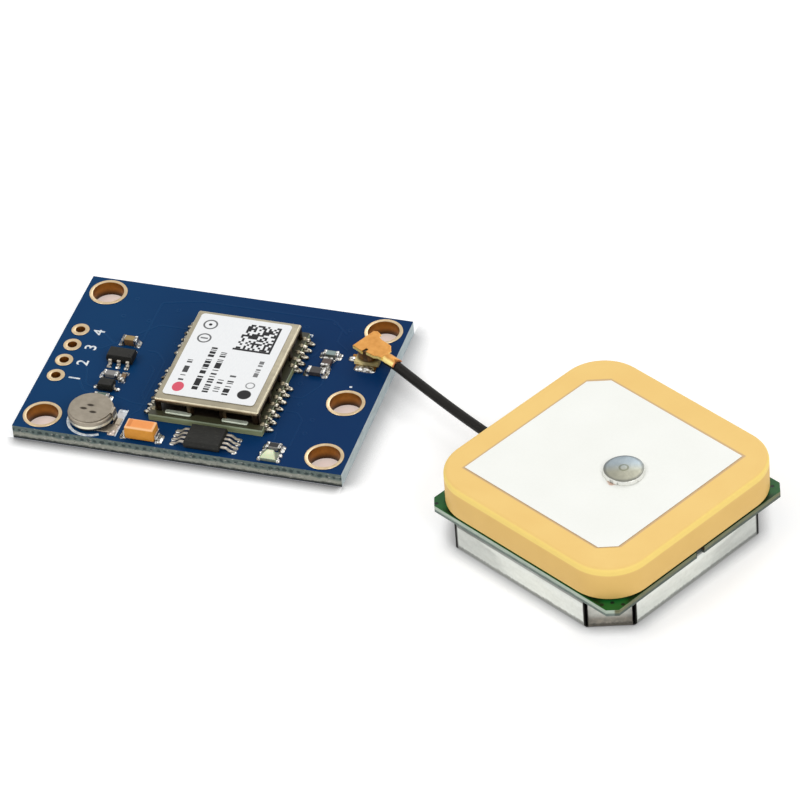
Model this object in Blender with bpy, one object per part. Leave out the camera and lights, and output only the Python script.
"""A satellite positioning module: a receiver board with its plug-in patch antenna.

Metres, +Z up. The origin is the middle of the main board's underside. X runs along the
board's long side, away from the header holes, and Y towards the board's back edge.
"""
import math

import bmesh
import bpy
from mathutils import Matrix, Vector

MM = 0.001

# Clearances
FILM = 0.03 * MM             # solder, mask or glue between pieces that lie on each other
SLIP = 0.03 * MM             # round a piece that passes through another
BODY_GAP = 0.3 * MM          # between the lead's jacket and what it meets end to end

# Main board: its strips from left to right and from front to back add up to its size
BOARD_T = 1.6 * MM
HEADER_STRIP = 13.5 * MM     # left edge to the receiver
BIAS_STRIP = 4.6 * MM        # receiver to the connector's strip
CONNECTOR_STRIP = 5.0 * MM   # from there to the right edge
FRONT_STRIP = 3.9 * MM       # front edge to the receiver
BACK_STRIP = 5.1 * MM        # receiver to the back edge

# Screw holes and their plating
SCREW_BORE_R = 1.65 * MM
SCREW_PAD_RING = 0.37 * MM
SCREW_INSET_X = 2.5 * MM
SCREW_INSET_Y = 2.3 * MM
MIDDLE_SCREW_X = 2.9 * MM    # from the right edge
MIDDLE_SCREW_Y = 10.8 * MM   # from the front edge
PAD_T = 0.05 * MM
PLATING_T = 0.06 * MM

# Header holes
HEADER_PITCH = 2.54 * MM
HEADER_COUNT = 4
HEADER_INSET = 1.7 * MM
HEADER_SHIFT = -0.13 * MM    # of the row's middle from the board's middle
HEADER_BORE_R = 0.5 * MM
HEADER_PAD_RING = 0.45 * MM

# Receiver
RECEIVER_W = 12.2 * MM
RECEIVER_D = 16.0 * MM
RECEIVER_T = 0.8 * MM
CONTACT_PITCH = 1.1 * MM
CONTACT_R = 0.3 * MM
CONTACT_END = 1.0 * MM       # module's end to the first contact
FRONT_CONTACTS = 7
BACK_CONTACTS = 5
SHIELD_MARGIN_X = 0.6 * MM   # receiver's side to the can
SHIELD_MARGIN_Y = 0.75 * MM
SHIELD_H = 1.6 * MM
SHEET_T = 0.15 * MM
SHIELD_ROUND = 0.35 * MM
SHIELD_RIM = 0.45 * MM
SHIELD_LEG = 0.7 * MM
SHORT_SIDE_WINDOWS = 3
LONG_SIDE_WINDOWS = 4
FOOT_BAR = 2.8 * MM          # soldered foot in front of the can and behind it
FOOT_BAR_REACH = 0.4 * MM
FOOT_BAR_T = 0.2 * MM
LABEL_MARGIN = 0.7 * MM      # can's side to the label
LABEL_T = 0.08 * MM
LABEL_ROUND = 0.6 * MM
LABEL_SHIFT = 0.3 * MM       # towards the back
RECEIVER_CHIP = (5.0 * MM, 5.0 * MM, 0.85 * MM)
OSCILLATOR = (2.5 * MM, 2.0 * MM, 0.8 * MM)
INPUT_FILTER = (1.4 * MM, 1.1 * MM, 0.6 * MM)
INNER_GAP = 0.8 * MM         # between the chips inside a can

# Backup cell
CELL_R = 2.4 * MM
CELL_INSET_X = 7.75 * MM     # from the left edge
CELL_FRONT = 0.35 * MM       # from the front edge
CELL_CAN_H = 0.9 * MM
CELL_CAN_ROUND = 0.25 * MM
CELL_SEAL_RING = 0.25 * MM
CELL_CAP_R = 1.95 * MM
CELL_CAP_H = 0.3 * MM
CELL_SEAL_H = 0.2 * MM
TAB_T = 0.14 * MM
TAB_W = 1.3 * MM
LOWER_TAB_SHIFT = 1.1 * MM    # of its middle to the front of the cell's
UPPER_TAB_SHIFT = 0.35 * MM   # of its leg's middle to the back of the cell's
TAB_CLEAR = 0.05 * MM        # between the can's side and the leg
TAB_STEP = 0.12 * MM         # lean of the leg on its way down
TAB_FOOT = 0.55 * MM
LEG_T = 0.1 * MM
LOWER_TAB_REACH = 0.55 * MM  # beyond the can's side

# Tantalum capacitor
TANTALUM = (3.5 * MM, 1.6 * MM, 1.55 * MM)
TANTALUM_SHIFT = -0.28 * MM    # from midway between its neighbours
TANTALUM_FRONT = 0.35 * MM
TERMINAL_T = 0.12 * MM
TERMINAL_W = 1.2 * MM
TERMINAL_H = 0.8 * MM
TERMINAL_FOOT = 0.7 * MM

# Moulded packages: body length along the leads' row, depth across it, height
LEAD_T = 0.13 * MM
LEAD_FOOT = 0.45 * MM
MOULD_DRAFT = 0.08 * MM
MEMORY_ROW = 3.0 * MM
MEMORY_DEPTH = 3.9 * MM
MEMORY_H = 0.95 * MM
MEMORY_REACH = 1.3 * MM     # of the leads beyond the body
MEMORY_PITCH = 0.65 * MM
MEMORY_LEAD_W = 0.26 * MM
MEMORY_FRONT = 0.35 * MM
MEMORY_SHIFT = 0.73 * MM     # of its middle from the receiver's
REGULATOR_BODY = (2.9 * MM, 1.6 * MM, 1.05 * MM)
REGULATOR_REACH = 0.6 * MM
REGULATOR_PITCH = 0.95 * MM
REGULATOR_LEAD_W = 0.38 * MM
DIODE_BODY = (1.3 * MM, 1.7 * MM, 0.95 * MM)
DIODE_REACH = 0.4 * MM
DIODE_LEAD_W = 0.35 * MM

# Chip parts: length, width, height
CHIP_0805 = (2.0 * MM, 1.25 * MM, 0.85 * MM)
CHIP_0603 = (1.6 * MM, 0.8 * MM, 0.5 * MM)
CHIP_0402 = (1.0 * MM, 0.5 * MM, 0.35 * MM)
SUPPLY_CHIP = (1.6 * MM, 0.85 * MM, 0.8 * MM)
CHIP_END = 0.2               # share of the length that each metal end takes
CHIP_END_PROUD = 0.02 * MM
COLUMN_INSET = 7.6 * MM      # left edge to the middle of the power parts' column
COLUMN_GAP = 0.55 * MM
FILTER_SHIFT = 1.15 * MM     # of the small filter capacitor from the column's middle
SERIES_SHIFT = -0.23 * MM
POWER_GAP = 0.85 * MM          # round the small row in front of the regulator, and behind it
LAMP_SHIFT = 1.75 * MM       # lamp's middle beyond the receiver's right side
LAMP_FRONT = 0.3 * MM
LAMP_BASE_H = 0.35 * MM
LAMP_LENS_H = 0.4 * MM
LAMP_GAP = 0.45 * MM
BIAS_CHIP = (1.9 * MM, 1.0 * MM, 0.55 * MM)
INDUCTOR_CHIP = (1.3 * MM, 1.0 * MM, 0.55 * MM)
BIAS_GAP = 0.4 * MM
BIAS_SHIFT = 0.68 * MM        # of the two back parts from the front one
BIAS_FRONT = 0.43 * MM        # of the back part from the connector's middle

# Antenna connector on the board
CONNECTOR_INSET = 2.55 * MM  # from the right edge
CONNECTOR_GAP = 0.65 * MM    # from the screw pad behind it
HOUSING = 2.6 * MM
HOUSING_T = 0.35 * MM
GROUND_PAD_W = 2.2 * MM
GROUND_PAD_REACH = 1.9 * MM
PAD_FOOT_T = 0.15 * MM
RING_R = 1.0 * MM
RING_WALL = 0.12 * MM
RING_H = 1.15 * MM
RISER_W = 0.3 * MM
SIGNAL_PAD_W = 0.6 * MM
SIGNAL_PAD_REACH = 1.85 * MM
CENTRE_PIN_BASE_R = 0.6 * MM
CENTRE_PIN_R = 0.22 * MM
CENTRE_PIN_H = 0.95 * MM

# Plug: lengths run from the head's middle along the lead
PLUG_YAW = -29.5             # degrees, of the lead from +X
PLUG_TOP = 2.1 * MM          # above the board
PLATE_T = 0.2 * MM
NOSE = 1.2 * MM
NOSE_W = 2.8 * MM
NOTCH_AT = 0.4 * MM
NOTCH_L = 0.16 * MM
NOTCH_W = 2.1 * MM
SHOULDER_W = 2.4 * MM
SHOULDER_END = 1.95 * MM
SKIRT_CLEAR = 0.05 * MM      # round the connector's ring
SKIRT_WALL = 0.14 * MM
SKIRT_EDGE = 0.62 * MM       # above the board
SKIRT_OPENING = 1.3 * MM
NECK_W = 1.3 * MM
CRIMP_START = 2.35 * MM
CRIMP_END = 4.1 * MM
CRIMP_WALL = 0.16 * MM
CRIMP_SEAM = 0.14 * MM
INSULATOR_T = 0.5 * MM

# Coax lead
JACKET_R = 0.565 * MM
BRAID_R = 0.4 * MM
CORE_R = 0.2 * MM
LEAD_IN_CRIMP = 1.5 * MM
LEAD_IN_CAN = 1.6 * MM       # jacket inside the antenna's can
BRAID_L = 1.3 * MM
CORE_L = 1.4 * MM
LEAD_POINTS = 16
LEAD_PULL = 0.3              # how far the lead keeps its end directions, as a share
LEAD_SAG = 0.5 * MM

# Antenna
ANTENNA_X = 45.5 * MM
ANTENNA_Y = -12.0 * MM
ANTENNA_YAW = 61.8           # degrees
CAN_MARGIN = 0.3 * MM        # antenna board's side to the can
CAN_H = 3.25 * MM
CAN_CUT = 3.35 * MM          # leg of each cut corner
CAN_SHIFT = (-0.35 * MM, 0.25 * MM)          # of the can's middle from the patch's
ANTENNA_BOARD_SHIFT = (-0.2 * MM, -0.1 * MM)
CAN_WALL = 0.2 * MM
CAN_ROUND = 0.4 * MM
CORNER_SLIT = 0.3 * MM
SLIT_FLOOR = 0.7 * MM
BOARD_MARGIN = 0.05 * MM      # of the antenna board beyond the patch
ANTENNA_BOARD_T = 0.8 * MM
ANTENNA_BOARD_CUT = 0.9 * MM
BREAK_NOTCH = (1.0 * MM, 0.35 * MM)
PATCH_SIDE = 25.0 * MM
PATCH_T = 3.75 * MM
PATCH_EDGE = 0.7 * MM         # rounding of the upper edge
PATCH_CORNER = 4.0 * MM
GLUE_T = 0.06 * MM
GLUE_INSET = 0.6 * MM
GROUND_FILM_T = 0.05 * MM
GROUND_INSET = 0.3 * MM
ELECTRODE_MARGIN_X = 2.75 * MM
ELECTRODE_MARGIN_Y = 2.7 * MM
ELECTRODE_SHIFT = (-0.15 * MM, 0.4 * MM)
ELECTRODE_CUT = 1.85 * MM
ELECTRODE_T = 0.05 * MM
FEED_Y = -2.2 * MM           # of the feed pin from the patch's middle
FEED_PIN_R = 0.5 * MM
FEED_FLANGE_R = 2.15 * MM
FEED_DOME_R = 1.5 * MM
FEED_FLANGE_T = 0.15 * MM
FEED_DOME_H = 0.55 * MM
FEED_TAIL = 0.7 * MM
JOINT_R = 1.1 * MM
AMPLIFIER = (2.0 * MM, 1.25 * MM, 0.9 * MM)
AMPLIFIER_LEAD = 0.55 * MM
AMPLIFIER_FILTER = (3.0 * MM, 3.0 * MM, 1.1 * MM)
AMPLIFIER_X = 5.0 * MM
AMPLIFIER_Y = 3.2 * MM

# Worked out from the above
BOARD_L = HEADER_STRIP + RECEIVER_W + BIAS_STRIP + CONNECTOR_STRIP
BOARD_W = FRONT_STRIP + RECEIVER_D + BACK_STRIP
LEFT, RIGHT = -BOARD_L / 2, BOARD_L / 2
FRONT, BACK = -BOARD_W / 2, BOARD_W / 2
SHIELD_W = RECEIVER_W - 2 * SHIELD_MARGIN_X
SHIELD_D = RECEIVER_D - 2 * SHIELD_MARGIN_Y
RECEIVER_X = LEFT + HEADER_STRIP + RECEIVER_W / 2
RECEIVER_Y = FRONT + FRONT_STRIP + RECEIVER_D / 2
SCREW_PAD_R = SCREW_BORE_R + SCREW_PAD_RING
HEADER_PAD_R = HEADER_BORE_R + HEADER_PAD_RING
ON_BOARD = BOARD_T + FILM
CONNECTOR_X = RIGHT - CONNECTOR_INSET
CONNECTOR_Y = BACK - SCREW_INSET_Y - SCREW_PAD_R - CONNECTOR_GAP - GROUND_PAD_REACH
ANTENNA_BOARD = PATCH_SIDE + 2 * BOARD_MARGIN
CAN_SIDE = ANTENNA_BOARD - 2 * CAN_MARGIN
CAN_TOP = CAN_H
PATCH_BASE = CAN_TOP + FILM + ANTENNA_BOARD_T + FILM + GLUE_T + FILM + GROUND_FILM_T + FILM
PATCH_TOP = PATCH_BASE + PATCH_T
LEAD_ENTRY_Z = CAN_TOP - JACKET_R - SLIP - CAN_WALL
LEAD_AXIS_Z = PLUG_TOP - CRIMP_WALL - SLIP - JACKET_R

SEGMENTS = 24                # round pieces a few millimetres across
FEW_SEGMENTS = 12            # round pieces about a millimetre across


for old in list(bpy.data.objects):
    bpy.data.objects.remove(old, do_unlink=True)


def finish(name, colour, roughness, metallic=0.0):
    """A Principled material, made once for each name."""
    found = bpy.data.materials.get(name)
    if found:
        return found
    made = bpy.data.materials.new(name)
    made.use_nodes = True
    made.diffuse_color = (*colour, 1.0)
    shader = made.node_tree.nodes["Principled BSDF"]
    shader.inputs["Base Color"].default_value = (*colour, 1.0)
    shader.inputs["Roughness"].default_value = roughness
    shader.inputs["Metallic"].default_value = metallic
    return made


def blue_mask():
    return finish("blue_mask", (0.02, 0.11, 0.29), 0.4)


def green_mask():
    return finish("green_mask", (0.04, 0.16, 0.07), 0.45)


def gold_plate():
    return finish("gold_plate", (0.78, 0.52, 0.2), 0.3, 1.0)


def tin_plate():
    return finish("tin_plate", (0.72, 0.72, 0.7), 0.35, 1.0)


def shield_sheet():
    return finish("shield_sheet", (0.6, 0.58, 0.53), 0.4, 1.0)


def black_mould():
    return finish("black_mould", (0.02, 0.02, 0.022), 0.5)


def white_plastic():
    return finish("white_plastic", (0.75, 0.72, 0.64), 0.5)


def frame(name, location=(0, 0, 0), yaw=0.0):
    """An empty that carries the pieces of one assembly."""
    empty = bpy.data.objects.new(name, None)
    bpy.context.collection.objects.link(empty)
    empty.location = location
    empty.rotation_euler = (0, 0, math.radians(yaw))
    return empty


board_frame = frame("board_frame")
antenna_frame = frame("antenna_frame", (ANTENNA_X, ANTENNA_Y, 0), ANTENNA_YAW)
plug_frame = frame("plug_frame", (CONNECTOR_X, CONNECTOR_Y, BOARD_T), PLUG_YAW)


def piece(name, shape, material, carrier=board_frame, place=(0, 0, 0), smooth=None):
    """Puts a bmesh into a named object; smooth is the angle in degrees below which edges are round."""
    bmesh.ops.remove_doubles(shape, verts=shape.verts, dist=1e-7)
    bmesh.ops.recalc_face_normals(shape, faces=shape.faces)
    mesh = bpy.data.meshes.new(name)
    shape.to_mesh(mesh)
    shape.free()
    if smooth:
        mesh.shade_smooth()
        mesh.set_sharp_from_angle(angle=math.radians(smooth))
    if material:
        mesh.materials.append(material)
    made = bpy.data.objects.new(name, mesh)
    bpy.context.collection.objects.link(made)
    made.parent = carrier
    made.location = place
    return made


def boolean(target, shape, operation, place=(0, 0, 0)):
    """Cuts a bmesh from an object, or joins it on, by an exact Boolean in the object's own frame."""
    tool = piece(target.name + "_" + operation.lower(), shape, None, target.parent)
    tool.location = Vector(target.location) + Vector(place)
    tool.hide_render = True
    tool.display_type = "WIRE"
    modifier = target.modifiers.new(operation.title(), "BOOLEAN")
    modifier.operation = operation
    modifier.solver = "EXACT"
    modifier.object = tool


def round_edges(target, width, segments=2):
    modifier = target.modifiers.new("Round", "BEVEL")
    modifier.width = width
    modifier.segments = segments
    modifier.limit_method = "ANGLE"
    modifier.angle_limit = math.radians(40)


def circle(radius, segments, centre=(0, 0)):
    """Points round a circle, anticlockwise."""
    steps = [2 * math.pi * k / segments for k in range(segments)]
    return [(centre[0] + radius * math.cos(a), centre[1] + radius * math.sin(a)) for a in steps]


def rectangle(width, depth):
    x, y = width / 2, depth / 2
    return [(-x, -y), (x, -y), (x, y), (-x, y)]


def rounded_rectangle(width, depth, radius, steps=5):
    """A rectangle whose corners are arcs of the given radius."""
    points = []
    for quarter, (sx, sy) in enumerate(((1, 1), (-1, 1), (-1, -1), (1, -1))):
        cx, cy = sx * (width / 2 - radius), sy * (depth / 2 - radius)
        for k in range(steps + 1):
            angle = (quarter + k / steps) * math.pi / 2
            points.append((cx + radius * math.cos(angle), cy + radius * math.sin(angle)))
    return points


def cut_rectangle(width, depth, leg, corners=(1, 1, 1, 1)):
    """A rectangle with straight cuts across its corners: back right, back left, front left, front right."""
    points = []
    for quarter, (sx, sy) in enumerate(((1, 1), (-1, 1), (-1, -1), (1, -1))):
        x, y = sx * width / 2, sy * depth / 2
        if not corners[quarter]:
            points.append((x, y))
            continue
        along_y = (x, y - sy * leg)
        along_x = (x - sx * leg, y)
        points += [along_y, along_x] if quarter % 2 == 0 else [along_x, along_y]
    return points


def prism(outline, z0, z1, holes=()):
    """A flat outline with holes, filled and extruded from z0 to z1."""
    shape = bmesh.new()
    edges = []
    for ring in (outline, *holes):
        verts = [shape.verts.new((x, y, z0)) for x, y in ring]
        edges += [shape.edges.new((a, b)) for a, b in zip(verts, verts[1:] + verts[:1])]
    filled = bmesh.ops.triangle_fill(shape, use_beauty=True, edges=edges)
    faces = [g for g in filled["geom"] if isinstance(g, bmesh.types.BMFace)]
    raised = bmesh.ops.extrude_face_region(shape, geom=faces)
    top = [g for g in raised["geom"] if isinstance(g, bmesh.types.BMVert)]
    bmesh.ops.translate(shape, verts=top, vec=(0, 0, z1 - z0))
    return shape


def turned(profile, segments, closed=False):
    """A profile of (radius, height) points spun about Z; an open one starts and ends on the axis."""
    shape = bmesh.new()
    verts = [shape.verts.new((r, 0, z)) for r, z in profile]
    pairs = list(zip(verts, verts[1:]))
    if closed:
        pairs.append((verts[-1], verts[0]))
    edges = [shape.edges.new(pair) for pair in pairs]
    bmesh.ops.spin(shape, geom=verts + edges, cent=(0, 0, 0), axis=(0, 0, 1), dvec=(0, 0, 0),
                   angle=2 * math.pi, steps=segments, use_merge=False, use_duplicate=False)
    bmesh.ops.remove_doubles(shape, verts=shape.verts, dist=1e-7)
    return shape


def stacked(levels):
    """Flat outlines of equal length at rising heights, skinned and closed."""
    shape = bmesh.new()
    rings = [[shape.verts.new((x, y, z)) for x, y in outline] for outline, z in levels]
    count = len(rings[0])
    for a, b in zip(rings, rings[1:]):
        for k in range(count):
            shape.faces.new((a[k], a[(k + 1) % count], b[(k + 1) % count], b[k]))
    shape.faces.new(rings[0])
    shape.faces.new(rings[-1])
    return shape


def slab(size, base=(0, 0, 0)):
    """A box that stands on the middle of its base."""
    shape = bmesh.new()
    bmesh.ops.create_cube(shape, size=1.0)
    bmesh.ops.scale(shape, vec=size, verts=shape.verts)
    bmesh.ops.translate(shape, vec=(base[0], base[1], base[2] + size[2] / 2), verts=shape.verts)
    return shape


def stand(shape, matrix):
    """Turns or moves a bmesh and gives it back."""
    bmesh.ops.transform(shape, matrix=matrix, verts=shape.verts)
    return shape


def gather(shapes):
    """Several bmeshes as one, each still a body of its own."""
    whole = bmesh.new()
    for shape in shapes:
        mesh = bpy.data.meshes.new("part")
        shape.to_mesh(mesh)
        shape.free()
        whole.from_mesh(mesh)
        bpy.data.meshes.remove(mesh)
    bmesh.ops.recalc_face_normals(whole, faces=whole.faces)
    return whole


def bent_strip(path, thickness, width):
    """A strip of sheet whose underside follows path, points of (x, z), as wide as width along Y."""
    line = [Vector(p) for p in path]
    upper = []
    for k, point in enumerate(line):
        normals = []
        for a, b in zip(line[max(k - 1, 0):k + 1], line[max(k - 1, 0) + 1:k + 2]):
            run = (b - a).normalized()
            normals.append(Vector((-run.y, run.x)))
        mean = sum(normals, Vector((0, 0))).normalized()
        upper.append(point + mean * (thickness / mean.dot(normals[0])))
    shape = prism([tuple(p) for p in line + upper[::-1]], -width / 2, width / 2)
    return stand(shape, Matrix.Rotation(math.radians(90), 4, "X"))


# Main board, with recesses under it for the lower pads, so that it lies flat
def screw_places():
    left, right = LEFT + SCREW_INSET_X, RIGHT - SCREW_INSET_X
    front, back = FRONT + SCREW_INSET_Y, BACK - SCREW_INSET_Y
    return {
        "front_left": (left, front),
        "front_right": (right, front),
        "back_left": (left, back),
        "back_right": (right, back),
        "middle_right": (RIGHT - MIDDLE_SCREW_X, FRONT + MIDDLE_SCREW_Y),
    }


def header_places():
    first = HEADER_SHIFT - HEADER_PITCH * (HEADER_COUNT - 1) / 2
    return [(LEFT + HEADER_INSET, first + HEADER_PITCH * k) for k in range(HEADER_COUNT)]


def main_board():
    screws = list(screw_places().values())
    headers = header_places()

    def rings(screw_r, header_r):
        return ([circle(screw_r, SEGMENTS, place) for place in screws]
                + [circle(header_r, FEW_SEGMENTS, place) for place in headers])

    hole_play = PLATING_T + SLIP
    holes = rings(SCREW_BORE_R + hole_play, HEADER_BORE_R + hole_play)
    board = piece("main_board", prism(rectangle(BOARD_L, BOARD_W), 0, BOARD_T, holes), blue_mask())
    recess_h = PAD_T + FILM
    recesses = [prism(ring, -recess_h, recess_h) for ring in rings(SCREW_PAD_R + SLIP, HEADER_PAD_R + SLIP)]
    boolean(board, gather(recesses), "DIFFERENCE")


def eyelet(name, place, bore_r, pad_r, segments):
    """A plated hole: a thin barrel with a flat pad at each end."""
    wall_r = bore_r + PLATING_T
    top = BOARD_T + FILM
    profile = [(bore_r, 0), (pad_r, 0), (pad_r, PAD_T), (wall_r, PAD_T), (wall_r, top),
               (pad_r, top), (pad_r, top + PAD_T), (bore_r, top + PAD_T)]
    piece(name, turned(profile, segments, closed=True), gold_plate(), place=(*place, 0), smooth=40)


def eyelets():
    for corner, place in screw_places().items():
        eyelet("screw_eyelet_" + corner, place, SCREW_BORE_R, SCREW_PAD_R, SEGMENTS)
    for k, place in enumerate(header_places()):
        eyelet("header_eyelet_%d" % (k + 1), place, HEADER_BORE_R, HEADER_PAD_R, FEW_SEGMENTS)


# Receiver
def contact_steps():
    """How far along the receiver's long side, from its front end, each contact lies."""
    front = [CONTACT_END + CONTACT_PITCH * k for k in range(FRONT_CONTACTS)]
    back = [RECEIVER_D - CONTACT_END - CONTACT_PITCH * k for k in range(BACK_CONTACTS)]
    return front + back[::-1]


def receiver_outline():
    """The module's outline: a rectangle with a half-round bite at each contact on its two long sides."""
    half_w, half_d = RECEIVER_W / 2, RECEIVER_D / 2
    bites = 4
    right = [(half_w, -half_d)]
    for step in contact_steps():
        for k in range(bites + 1):
            angle = math.pi * (1.5 - k / bites)
            right.append((half_w + CONTACT_R * math.cos(angle), -half_d + step + CONTACT_R * math.sin(angle)))
    right.append((half_w, half_d))
    left = [(-x, y) for x, y in reversed(right)]
    return right + left


def receiver():
    base = ON_BOARD
    place = (RECEIVER_X, RECEIVER_Y, 0)
    top = base + RECEIVER_T
    piece("receiver_board", prism(receiver_outline(), base, top), green_mask(), place=place)
    receiver_shield(place, top + FILM)
    label_z = top + FILM + SHIELD_H + FILM
    label = rounded_rectangle(SHIELD_W - 2 * LABEL_MARGIN, SHIELD_D - 2 * LABEL_MARGIN, LABEL_ROUND, 3)
    piece("receiver_label", prism(label, label_z, label_z + LABEL_T),
          finish("label_paper", (0.82, 0.82, 0.79), 0.5), place=(place[0], place[1] + LABEL_SHIFT, 0))
    inside = top + FILM
    chip_y = RECEIVER_Y - INNER_GAP
    piece("receiver_chip", slab(RECEIVER_CHIP), black_mould(), place=(RECEIVER_X, chip_y, inside))
    beside_y = chip_y + RECEIVER_CHIP[1] / 2 + INNER_GAP + OSCILLATOR[1] / 2
    piece("reference_oscillator", slab(OSCILLATOR), tin_plate(),
          place=(RECEIVER_X - OSCILLATOR[0] / 2 - INNER_GAP / 2, beside_y, inside))
    piece("input_filter", slab(INPUT_FILTER), tin_plate(),
          place=(RECEIVER_X + INPUT_FILTER[0] / 2 + INNER_GAP / 2, beside_y, inside))


def side_windows(length, count):
    """Middles and width of the windows between equal legs along a side."""
    width = (length - SHIELD_LEG * (count + 1)) / count
    first = -length / 2 + SHIELD_LEG + width / 2
    return [first + (width + SHIELD_LEG) * k for k in range(count)], width


def shield_outline(inset):
    """The can's outline with its small corner bends, moved inwards all round."""
    return rounded_rectangle(SHIELD_W - 2 * inset, SHIELD_D - 2 * inset, SHIELD_ROUND - inset, 3)


def receiver_shield(place, base):
    """A drawn can, open below, with a rim and windows in its four sides."""
    shoulder = [math.radians(a) for a in (0, 30, 60)]
    bend = SHIELD_ROUND - SHEET_T / 2
    rings = [(bend * (1 - math.cos(a)), SHIELD_H - bend * (1 - math.sin(a))) for a in shoulder]
    levels = [(shield_outline(inset), base + z) for inset, z in [(0, 0), *rings, (bend, SHIELD_H)]]
    can = piece("receiver_shield", stacked(levels), shield_sheet(), place=place, smooth=40)
    below = SHEET_T
    boolean(can, prism(shield_outline(SHEET_T), base - below, base + SHIELD_H - SHEET_T), "DIFFERENCE")
    window_h = SHIELD_H - SHIELD_RIM
    cuts = []
    middles, width = side_windows(SHIELD_W, SHORT_SIDE_WINDOWS)
    through = 2 * SHEET_T
    cuts += [slab((width, SHIELD_D + through, window_h + below), (x, 0, base - below)) for x in middles]
    middles, width = side_windows(SHIELD_D, LONG_SIDE_WINDOWS)
    cuts += [slab((SHIELD_W + through, width, window_h + below), (0, y, base - below)) for y in middles]
    for cut in cuts:
        boolean(can, cut, "DIFFERENCE")
    bend = SHEET_T / 2
    bar_x = SHIELD_LEG / 2 + side_windows(SHIELD_W, SHORT_SIDE_WINDOWS)[1] / 2 + FOOT_BAR / 2 - bend
    for side, front in ((-1, -1), (1, -1), (-1, 1), (1, 1)):
        bar = slab((FOOT_BAR, FOOT_BAR_REACH + bend, FOOT_BAR_T),
                   (side * bar_x, front * (SHIELD_D + FOOT_BAR_REACH - bend) / 2, base))
        boolean(can, bar, "UNION")


# Backup cell
def backup_cell():
    x, y = LEFT + CELL_INSET_X, FRONT + CELL_FRONT + CELL_R
    steel = finish("cell_steel", (0.55, 0.53, 0.47), 0.35, 1.0)
    cap_z = ON_BOARD + TAB_T + FILM
    can_z = cap_z + CELL_CAP_H + FILM
    can_top = can_z + CELL_CAN_H
    cap = [(0, cap_z), (CELL_CAP_R, cap_z), (CELL_CAP_R, cap_z + CELL_CAP_H), (0, cap_z + CELL_CAP_H)]
    piece("cell_cap", turned(cap, SEGMENTS), steel, place=(x, y, 0), smooth=40)
    seal_in = CELL_CAP_R + SLIP
    seal_z = can_z - FILM - CELL_SEAL_H
    seal = [(seal_in, seal_z), (seal_in + CELL_SEAL_RING, seal_z),
            (seal_in + CELL_SEAL_RING, seal_z + CELL_SEAL_H), (seal_in, seal_z + CELL_SEAL_H)]
    piece("cell_seal", turned(seal, SEGMENTS, closed=True), black_mould(), place=(x, y, 0), smooth=40)
    arc = [math.radians(a) for a in (0, 45, 90)]
    shoulder = [(CELL_R - CELL_CAN_ROUND + CELL_CAN_ROUND * math.cos(a),
                 can_top - CELL_CAN_ROUND + CELL_CAN_ROUND * math.sin(a)) for a in arc]
    can = [(0, can_z), (CELL_R - CELL_CAN_ROUND / 2, can_z), (CELL_R, can_z + CELL_CAN_ROUND / 2),
           *shoulder, (0, can_top)]
    piece("cell_can", turned(can, SEGMENTS), steel, place=(x, y, 0), smooth=40)
    tab_metal = tin_plate()
    lower = slab((CELL_R + CELL_CAP_R / 2 + LOWER_TAB_REACH, TAB_W, TAB_T),
                 ((CELL_R - CELL_CAP_R / 2 + LOWER_TAB_REACH) / 2, 0, ON_BOARD))
    piece("cell_lower_tab", lower, tab_metal, place=(x, y - LOWER_TAB_SHIFT, 0))
    over = can_top + FILM
    plate = circle(CELL_R - CELL_CAN_ROUND / 2, SEGMENTS)
    upper = piece("cell_upper_tab", prism(plate, over, over + TAB_T), tab_metal, place=(x, y, 0), smooth=40)
    knee = CELL_R + TAB_CLEAR
    foot_x = knee + TAB_STEP
    skin = (TAB_T - LEG_T) / 2
    leg = bent_strip([(CELL_R / 2, over + skin), (knee, over + skin), (foot_x, ON_BOARD),
                      (foot_x + TAB_FOOT, ON_BOARD)], LEG_T, TAB_W)
    boolean(upper, leg, "UNION", (0, UPPER_TAB_SHIFT, 0))
    return x + foot_x + TAB_FOOT


# Chip parts and moulded packages
def chip(name, size, colour, place, turn=0.0, carrier=board_frame):
    """A chip part: a fired body between two metal ends that stand a little proud of it."""
    length, width, height = size
    end = length * CHIP_END
    shape = bmesh.new()
    rings = []
    for x, proud in ((-length / 2, 1), (-length / 2 + end, 1), (-length / 2 + end, 0),
                     (length / 2 - end, 0), (length / 2 - end, 1), (length / 2, 1)):
        inset = 0 if proud else CHIP_END_PROUD
        w, low, high = width / 2 - inset, inset, height - inset
        corners = ((-w, low), (w, low), (w, high), (-w, high))
        rings.append([shape.verts.new((x, y, z)) for y, z in corners])
    for a, b in zip(rings, rings[1:]):
        for k in range(4):
            shape.faces.new((a[k], a[(k + 1) % 4], b[(k + 1) % 4], b[k]))
    shape.faces.new(rings[0])
    shape.faces.new(rings[-1])
    stand(shape, Matrix.Rotation(math.radians(turn), 4, "Z"))
    piece(name, shape, finish(name + "_body", colour, 0.5), carrier, place)


def gull_lead(half_body, height, reach, width, along, side):
    """One gull-wing lead: out of the body's middle height, down, and flat on the board."""
    middle = height / 2
    tip = half_body + reach
    foot = tip - LEAD_FOOT
    knee = half_body + (foot - half_body) / 2
    path = [(half_body - 2 * MOULD_DRAFT - LEAD_T, middle), (knee, middle), (foot, 0), (tip, 0)]
    shape = bent_strip(path, LEAD_T, width)
    stand(shape, Matrix.Translation((0, along, 0)))
    return stand(shape, Matrix.Rotation(math.pi if side < 0 else 0, 4, "Z"))


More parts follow.
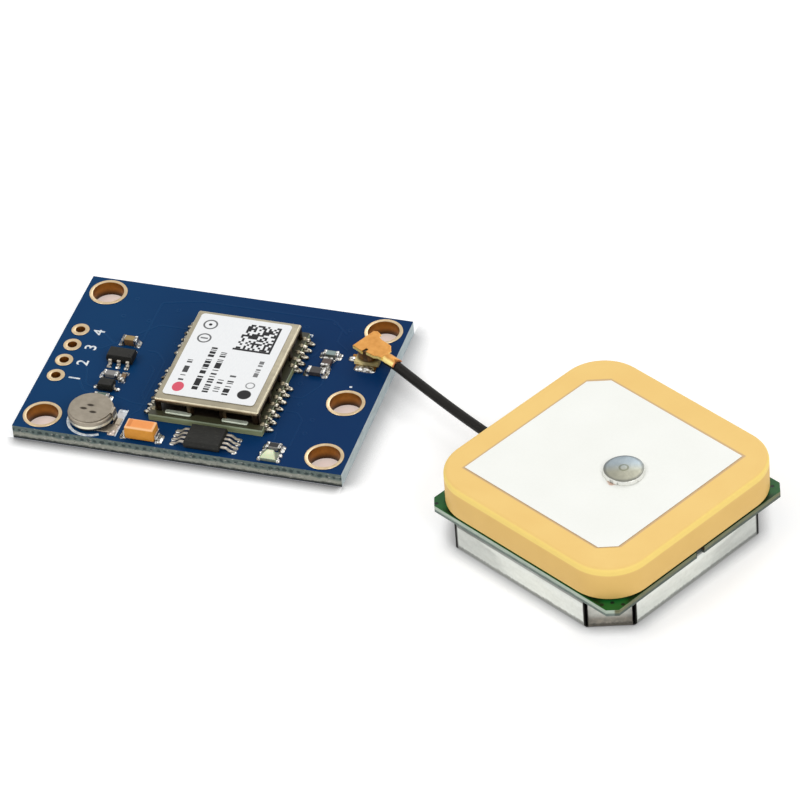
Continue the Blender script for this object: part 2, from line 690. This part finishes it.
def package(name, body, reach, lead_w, rows, place, turn=0.0, tip=0.0, carrier=board_frame):
    """A moulded body whose leads leave along X; rows gives each side's lead places along Y."""
    pose = Matrix.Rotation(math.radians(turn), 4, "Z") @ Matrix.Rotation(math.radians(tip), 4, "X")
    row, depth, height = body
    draft = 2 * MOULD_DRAFT
    shape = stacked([
        (rectangle(depth - draft, row - draft), LEAD_T / 2),
        (rectangle(depth, row), (height + LEAD_T) / 2),
        (rectangle(depth - draft, row - draft), height),
    ])
    made = piece(name, stand(shape, pose), black_mould(), carrier, place)
    leads = [gull_lead(depth / 2, height, reach, lead_w, along * side, side)
             for side, row_places in zip((1, -1), rows) for along in row_places]
    boolean(made, stand(gather(leads), pose), "UNION")


def spread(count, pitch):
    return [pitch * (k - (count - 1) / 2) for k in range(count)]


def memory_chip():
    x = RECEIVER_X + MEMORY_SHIFT
    y = FRONT + MEMORY_FRONT + MEMORY_ROW / 2
    row = spread(4, MEMORY_PITCH)
    package("memory_chip", (MEMORY_ROW, MEMORY_DEPTH, MEMORY_H), MEMORY_REACH, MEMORY_LEAD_W,
            (row, row), (x, y, ON_BOARD))
    return x - MEMORY_DEPTH / 2 - MEMORY_REACH


def tantalum(left_limit, right_limit):
    """The capacitor stands about midway between the cell's tabs and the memory chip's leads."""
    length, width, height = TANTALUM
    x = (left_limit + right_limit) / 2 + TANTALUM_SHIFT
    y = FRONT + TANTALUM_FRONT + width / 2
    base = ON_BOARD + TERMINAL_T + FILM
    body = piece("tantalum_body", slab((length - 2 * (TERMINAL_T + FILM), width, height), (0, 0, 0)),
                 finish("orange_mould", (0.75, 0.36, 0.08), 0.5), place=(x, y, base))
    round_edges(body, MOULD_DRAFT, 2)
    metal = tin_plate()
    for name, side in (("tantalum_terminal_left", -1), ("tantalum_terminal_right", 1)):
        out = length / 2
        path = [(out - TERMINAL_FOOT, ON_BOARD), (out, ON_BOARD), (out, base + TERMINAL_H)]
        shape = bent_strip(path, TERMINAL_T, TERMINAL_W)
        stand(shape, Matrix.Rotation(math.pi if side < 0 else 0, 4, "Z"))
        piece(name, shape, metal, place=(x, y, 0))


def power_column(start):
    """The power parts stand in one column, each behind the one before it."""
    x = LEFT + COLUMN_INSET
    brown, pale, dark = (0.28, 0.2, 0.12), (0.3, 0.34, 0.3), (0.16, 0.15, 0.14)
    y = start + COLUMN_GAP
    chip("cell_resistor", CHIP_0603, pale, (x, y + CHIP_0603[1] / 2, ON_BOARD))
    y += CHIP_0603[1] + COLUMN_GAP
    package("protection_diode", DIODE_BODY, DIODE_REACH, DIODE_LEAD_W, ([0], [0]),
            (x, y + DIODE_BODY[0] / 2, ON_BOARD))
    y += DIODE_BODY[0] + POWER_GAP
    middle = y + CHIP_0402[0] / 2
    chip("series_resistor", CHIP_0603, dark, (x + SERIES_SHIFT, middle, ON_BOARD))
    chip("filter_capacitor", CHIP_0402, brown, (x + FILTER_SHIFT, middle, ON_BOARD), turn=90)
    y += CHIP_0402[0] + POWER_GAP
    back_row = [-REGULATOR_PITCH, REGULATOR_PITCH]
    span = REGULATOR_BODY[1] + 2 * REGULATOR_REACH
    package("voltage_regulator", REGULATOR_BODY, REGULATOR_REACH, REGULATOR_LEAD_W,
            (back_row, spread(3, REGULATOR_PITCH)), (x, y + span / 2, ON_BOARD), turn=90)
    y += span + POWER_GAP
    chip("supply_capacitor", SUPPLY_CHIP, brown, (x, y + SUPPLY_CHIP[1] / 2, ON_BOARD))


def lamp():
    length, width, _ = CHIP_0805
    x = RECEIVER_X + RECEIVER_W / 2 + LAMP_SHIFT
    y = FRONT + LAMP_FRONT + width / 2
    piece("lamp_base", slab((length, width, LAMP_BASE_H)), white_plastic(), place=(x, y, ON_BOARD))
    clear = finish("lamp_lens_clear", (0.75, 0.8, 0.68), 0.3)
    lens = piece("lamp_lens", slab((length * (1 - 2 * CHIP_END), width, LAMP_LENS_H)), clear,
                 place=(x, y, ON_BOARD + LAMP_BASE_H + FILM))
    round_edges(lens, MOULD_DRAFT, 2)
    chip("lamp_resistor", CHIP_0603, (0.1, 0.1, 0.1),
         (x, y + width / 2 + LAMP_GAP + CHIP_0603[1] / 2, ON_BOARD))


def bias_parts():
    """Three chip parts between the receiver and the connector, the first nearly level with the connector."""
    x = RECEIVER_X + RECEIVER_W / 2 + BIAS_STRIP / 2
    y = CONNECTOR_Y - BIAS_FRONT
    width, length = BIAS_CHIP[1], INDUCTOR_CHIP[0]
    chip("bias_resistor", CHIP_0603, (0.1, 0.1, 0.1), (x + BIAS_SHIFT, y, ON_BOARD))
    y -= CHIP_0603[1] / 2 + BIAS_GAP + length / 2
    chip("bias_inductor", INDUCTOR_CHIP, (0.2, 0.19, 0.18), (x + BIAS_SHIFT, y, ON_BOARD), turn=90)
    y -= length / 2 + BIAS_GAP + width / 2
    chip("bias_capacitor", BIAS_CHIP, (0.25, 0.2, 0.14), (x, y, ON_BOARD))


# Antenna connector and plug
def connector():
    """A plastic square with a gold ring for the outer contact and a pin in its middle."""
    place = (CONNECTOR_X, CONNECTOR_Y, 0)
    ring_hole = circle(RING_R + SLIP, SEGMENTS)
    base = ON_BOARD + PAD_FOOT_T + FILM
    piece("connector_housing", prism(rectangle(HOUSING, HOUSING), base, base + HOUSING_T, (ring_hole,)),
          white_plastic(), place=place)
    ring = [(RING_R - RING_WALL, base), (RING_R, base), (RING_R, BOARD_T + RING_H),
            (RING_R - RING_WALL, BOARD_T + RING_H)]
    outer = piece("connector_ring", turned(ring, SEGMENTS, closed=True), gold_plate(), place=place, smooth=40)
    inner = RING_R - RING_WALL
    for side in (-1, 1):
        foot = slab((GROUND_PAD_W, GROUND_PAD_REACH - inner, PAD_FOOT_T),
                    (0, side * (GROUND_PAD_REACH + inner) / 2, ON_BOARD))
        boolean(outer, foot, "UNION")
        riser = slab((RISER_W, RING_WALL / 2, PAD_FOOT_T + 2 * FILM),
                     (0, side * (inner + RING_WALL / 2), ON_BOARD + FILM))
        boolean(outer, riser, "UNION")
    pin = [(0, ON_BOARD), (CENTRE_PIN_BASE_R, ON_BOARD), (CENTRE_PIN_BASE_R, ON_BOARD + PAD_FOOT_T),
           (CENTRE_PIN_R, ON_BOARD + PAD_FOOT_T), (CENTRE_PIN_R, BOARD_T + CENTRE_PIN_H),
           (0, BOARD_T + CENTRE_PIN_H + CENTRE_PIN_R)]
    centre = piece("connector_pin", turned(pin, FEW_SEGMENTS), gold_plate(), place=place, smooth=40)
    strip = slab((SIGNAL_PAD_REACH, SIGNAL_PAD_W, PAD_FOOT_T - FILM), (-SIGNAL_PAD_REACH / 2, 0, ON_BOARD))
    boolean(centre, strip, "UNION")


def open_ring(outer, inner, opening):
    """A ring with an open seam at angle 0."""
    points = []
    for radius, way in ((outer, 1), (inner, -1)):
        edge = math.asin(opening / 2 / radius)
        arc = [edge + 2 * (math.pi - edge) * k / SEGMENTS for k in range(SEGMENTS + 1)]
        points += [(radius * math.cos(a), radius * math.sin(a)) for a in arc[::way]]
    return points


def plug():
    """The plug's shell is one folded strip: plate, skirt round the connector, neck and crimp."""
    past = NOTCH_AT + NOTCH_L
    half = [(-NOSE, NOSE_W / 2), (NOTCH_AT, NOSE_W / 2), (NOTCH_AT, NOTCH_W / 2),
            (past, NOTCH_W / 2), (past, SHOULDER_W / 2), (SHOULDER_END, SHOULDER_W / 2)]
    plate = [(x, -y) for x, y in half] + half[::-1]
    under = PLUG_TOP - PLATE_T
    shell = piece("plug_shell", prism(plate, under, PLUG_TOP), gold_plate(), plug_frame, smooth=40)
    skirt_r = RING_R + SKIRT_CLEAR
    skirt = prism(open_ring(skirt_r + SKIRT_WALL, skirt_r, SKIRT_OPENING), SKIRT_EDGE, under + PLATE_T / 2)
    boolean(shell, skirt, "UNION")
    neck = slab((CRIMP_START - SHOULDER_END + 2 * CRIMP_WALL, NECK_W, CRIMP_WALL - 2 * FILM),
                ((CRIMP_START + SHOULDER_END) / 2, 0, PLUG_TOP - CRIMP_WALL + FILM))
    boolean(shell, neck, "UNION")
    bore_r = JACKET_R + SLIP
    crimp = prism(open_ring(bore_r + CRIMP_WALL, bore_r, CRIMP_SEAM), CRIMP_START, CRIMP_END)
    lay = Matrix.Translation((0, 0, LEAD_AXIS_Z)) @ Matrix.Rotation(math.radians(90), 4, "Y")
    boolean(shell, stand(crimp, lay), "UNION")
    base = under - FILM - INSULATOR_T
    sleeve_r = CENTRE_PIN_R + SLIP
    hole = circle(sleeve_r + PLATING_T + SLIP, FEW_SEGMENTS)
    piece("plug_insulator", prism(circle(skirt_r - SLIP, SEGMENTS), base, base + INSULATOR_T, (hole,)),
          white_plastic(), plug_frame)
    sleeve = [(sleeve_r, CENTRE_PIN_H / 2), (sleeve_r + PLATING_T, CENTRE_PIN_H / 2),
              (sleeve_r + PLATING_T, base + INSULATOR_T), (sleeve_r, base + INSULATOR_T)]
    piece("plug_contact", turned(sleeve, FEW_SEGMENTS, closed=True), gold_plate(), plug_frame, smooth=40)


# Coax lead, from the crimp to the antenna's can
def place_in(carrier, point):
    yaw = carrier.rotation_euler.z
    return Vector(carrier.location) + Matrix.Rotation(yaw, 3, "Z") @ Vector(point)


def lead_ends():
    """The jacket's two ends and the direction in which the lead leaves each."""
    start = place_in(plug_frame, (CRIMP_END - LEAD_IN_CRIMP, 0, LEAD_AXIS_Z))
    mouth = place_in(plug_frame, (CRIMP_END, 0, LEAD_AXIS_Z))
    x, y = CAN_SHIFT
    side_y = y + CAN_SIDE / 2
    entry = place_in(antenna_frame, (x, side_y, LEAD_ENTRY_Z))
    end = place_in(antenna_frame, (x, side_y - LEAD_IN_CAN, LEAD_ENTRY_Z))
    return start, mouth, entry, end


def tube(name, points, radius, material):
    curve = bpy.data.curves.new(name, "CURVE")
    curve.dimensions = "3D"
    curve.bevel_depth = radius
    curve.bevel_resolution = 2
    curve.use_fill_caps = True
    spline = curve.splines.new("POLY")
    spline.points.add(len(points) - 1)
    for point, co in zip(spline.points, points):
        point.co = (*co, 1)
    curve.materials.append(material)
    made = bpy.data.objects.new(name, curve)
    bpy.context.collection.objects.link(made)


def lead_route():
    """A smooth curve that leaves the crimp and the can straight and sags a little between them."""
    start, mouth, entry, end = lead_ends()
    span = (entry - mouth).length
    pull = span * LEAD_PULL
    handle_a = mouth + (mouth - start).normalized() * pull
    handle_b = entry + (entry - end).normalized() * pull
    sag = Vector((0, 0, LEAD_SAG / 0.75))
    handle_a -= sag
    handle_b -= sag
    route = [start]
    for k in range(LEAD_POINTS + 1):
        t = k / LEAD_POINTS
        route.append(mouth * (1 - t) ** 3 + handle_a * 3 * t * (1 - t) ** 2
                     + handle_b * 3 * t ** 2 * (1 - t) + entry * t ** 3)
    return route + [end]


def coax_lead():
    tube("coax_lead", lead_route(), JACKET_R, finish("black_jacket", (0.015, 0.015, 0.015), 0.4))
    x, y = CAN_SHIFT
    inner = y + CAN_SIDE / 2 - LEAD_IN_CAN - BODY_GAP
    braid = prism(circle(BRAID_R, FEW_SEGMENTS), 0, BRAID_L)
    turn = Matrix.Rotation(math.radians(90), 4, "X")
    piece("coax_braid", stand(braid, turn), tin_plate(), antenna_frame, (x, inner, LEAD_ENTRY_Z), smooth=40)
    core = prism(circle(CORE_R, FEW_SEGMENTS), 0, CORE_L)
    piece("coax_core", stand(core, turn), white_plastic(), antenna_frame,
          (x, inner - BRAID_L - SLIP, LEAD_ENTRY_Z), smooth=40)


# Antenna
def can_outline(inset):
    """The can's outline, moved inwards all round."""
    side = CAN_SIDE - 2 * inset
    return cut_rectangle(side, side, CAN_CUT - inset * (2 - math.sqrt(2)))


def antenna_shield():
    """A folded can, open above, with cut corners that are slit beside each corner strip."""
    arc = [math.radians(a) for a in (0, 30, 60, 90)]
    rings = [(CAN_ROUND * (1 - math.sin(a)), CAN_ROUND * (1 - math.cos(a))) for a in arc]
    levels = [(can_outline(inset), z) for inset, z in rings + [(0, CAN_H)]]
    can = piece("antenna_shield", stacked(levels), tin_plate(), antenna_frame, (*CAN_SHIFT, 0), smooth=35)
    boolean(can, prism(can_outline(CAN_WALL), CAN_WALL, CAN_H + CAN_WALL), "DIFFERENCE")
    half = CAN_SIDE / 2
    slits = []
    for quarter in range(4):
        for side in (-1, 1):
            along = side * CAN_CUT / math.sqrt(2)
            out = (half - CAN_CUT / 2) * math.sqrt(2)
            slit = slab((4 * CAN_WALL, CORNER_SLIT, CAN_H), (out, along, SLIT_FLOOR))
            slits.append(stand(slit, Matrix.Rotation(math.radians(45 + 90 * quarter), 4, "Z")))
    boolean(can, gather(slits), "DIFFERENCE")
    mouth_w = 2 * (JACKET_R + SLIP)
    mouth = slab((mouth_w, 4 * CAN_WALL, CAN_H), (0, half - CAN_WALL, LEAD_ENTRY_Z - JACKET_R - SLIP))
    boolean(can, mouth, "DIFFERENCE")


def antenna_board_outline():
    """A square with cut corners and a break-off notch in the middle of its front side."""
    outline = cut_rectangle(ANTENNA_BOARD, ANTENNA_BOARD, ANTENNA_BOARD_CUT)
    half = ANTENNA_BOARD / 2
    width, depth = BREAK_NOTCH
    front_left = max(k for k, p in enumerate(outline) if p[1] < -half + FILM and p[0] < 0)
    notch = [(-width / 2, -half), (-width / 2, -half + depth), (width / 2, -half + depth), (width / 2, -half)]
    return outline[:front_left + 1] + notch + outline[front_left + 1:]


def patch_outline(inset):
    side = PATCH_SIDE - 2 * inset
    return rounded_rectangle(side, side, PATCH_CORNER - inset, 8)


def antenna():
    z = CAN_TOP + FILM
    hole_r = FEED_PIN_R + SLIP
    pin_hole = circle(hole_r, FEW_SEGMENTS, (0, FEED_Y))
    shift_x, shift_y = ANTENNA_BOARD_SHIFT
    board_hole = circle(hole_r, FEW_SEGMENTS, (-shift_x, FEED_Y - shift_y))
    piece("antenna_board", prism(antenna_board_outline(), z, z + ANTENNA_BOARD_T, (board_hole,)),
          green_mask(), antenna_frame, (shift_x, shift_y, 0))
    z += ANTENNA_BOARD_T + FILM
    corner = PATCH_CORNER
    glue_side = PATCH_SIDE - 2 * GLUE_INSET
    piece("glue_pad", prism(rounded_rectangle(glue_side, glue_side, corner, 4), z, z + GLUE_T, (pin_hole,)),
          black_mould(), antenna_frame)
    z += GLUE_T + FILM
    silver = finish("silver_film", (0.82, 0.82, 0.8), 0.45, 0.6)
    ground_side = PATCH_SIDE - 2 * GROUND_INSET
    clear = circle(FEED_FLANGE_R, SEGMENTS, (0, FEED_Y))
    ground = rounded_rectangle(ground_side, ground_side, corner, 4)
    piece("ground_electrode", prism(ground, z, z + GROUND_FILM_T, (clear,)), silver, antenna_frame)
    arc = [math.radians(a) for a in (0, 30, 60, 90)]
    rings = [(PATCH_EDGE * (1 - math.cos(a)), PATCH_TOP - PATCH_EDGE * (1 - math.sin(a))) for a in arc]
    levels = [(patch_outline(inset), at) for inset, at in [(0, PATCH_BASE), *rings]]
    patch = piece("patch_ceramic", stacked(levels), finish("tan_ceramic", (0.86, 0.62, 0.3), 0.55),
                  antenna_frame, smooth=35)
    boolean(patch, prism(pin_hole, PATCH_BASE - hole_r, PATCH_TOP + hole_r), "DIFFERENCE")
    sheet_z = PATCH_TOP + FILM
    shift_x, shift_y = ELECTRODE_SHIFT
    sheet = cut_rectangle(PATCH_SIDE - 2 * ELECTRODE_MARGIN_X, PATCH_SIDE - 2 * ELECTRODE_MARGIN_Y,
                          ELECTRODE_CUT, (1, 0, 1, 0))
    sheet_hole = circle(hole_r, FEW_SEGMENTS, (-shift_x, FEED_Y - shift_y))
    piece("patch_electrode", prism(sheet, sheet_z, sheet_z + ELECTRODE_T, (sheet_hole,)), silver,
          antenna_frame, (shift_x, shift_y, 0))
    feed_pin(sheet_z + ELECTRODE_T + FILM)


def feed_pin(head_z):
    """A rivet: domed head on the electrode, shank through the ceramic and the board."""
    tail = CAN_TOP - FEED_TAIL
    dome = [(FEED_DOME_R * math.cos(a), head_z + FEED_FLANGE_T + (FEED_DOME_H - FEED_FLANGE_T) * math.sin(a))
            for a in [math.radians(30 * k) for k in range(3)]]
    profile = [(0, tail), (FEED_PIN_R, tail), (FEED_PIN_R, head_z), (FEED_FLANGE_R, head_z),
               (FEED_FLANGE_R - FEED_FLANGE_T, head_z + FEED_FLANGE_T), *dome, (0, head_z + FEED_DOME_H)]
    piece("feed_pin", turned(profile, SEGMENTS), tin_plate(), antenna_frame, (0, FEED_Y, 0), smooth=40)
    joint_in = FEED_PIN_R + SLIP
    joint = [(joint_in, tail + FEED_TAIL / 4), (joint_in + FEED_TAIL / 4, tail + FEED_TAIL / 4),
             (JOINT_R, CAN_TOP), (joint_in, CAN_TOP)]
    solder = turned(joint, SEGMENTS, closed=True)
    piece("feed_solder", solder, tin_plate(), antenna_frame, (0, FEED_Y, 0), smooth=40)


def amplifier():
    """The parts under the antenna board, inside the can."""
    def under(size):
        return CAN_TOP - size[2]

    row = [-REGULATOR_PITCH / 2, REGULATOR_PITCH / 2]
    package("amplifier_chip", AMPLIFIER, AMPLIFIER_LEAD, DIODE_LEAD_W, (row, row),
            (AMPLIFIER_X, AMPLIFIER_Y, CAN_TOP), tip=180, carrier=antenna_frame)
    piece("amplifier_filter", slab(AMPLIFIER_FILTER), tin_plate(), antenna_frame,
          (-AMPLIFIER_X, AMPLIFIER_Y, under(AMPLIFIER_FILTER)))
    brown = (0.28, 0.2, 0.12)
    for k, name in enumerate(("amplifier_capacitor_1", "amplifier_capacitor_2", "amplifier_inductor")):
        x = AMPLIFIER_X - (k + 1) * AMPLIFIER_X / 2
        chip(name, CHIP_0402, brown, (x, AMPLIFIER_Y - AMPLIFIER[0], under(CHIP_0402)), 90, antenna_frame)


main_board()
eyelets()
receiver()
tab_end = backup_cell()
memory_left = memory_chip()
tantalum(tab_end, memory_left)
power_column(FRONT + CELL_FRONT + 2 * CELL_R)
lamp()
bias_parts()
connector()
plug()
coax_lead()
antenna_shield()
antenna()
amplifier()
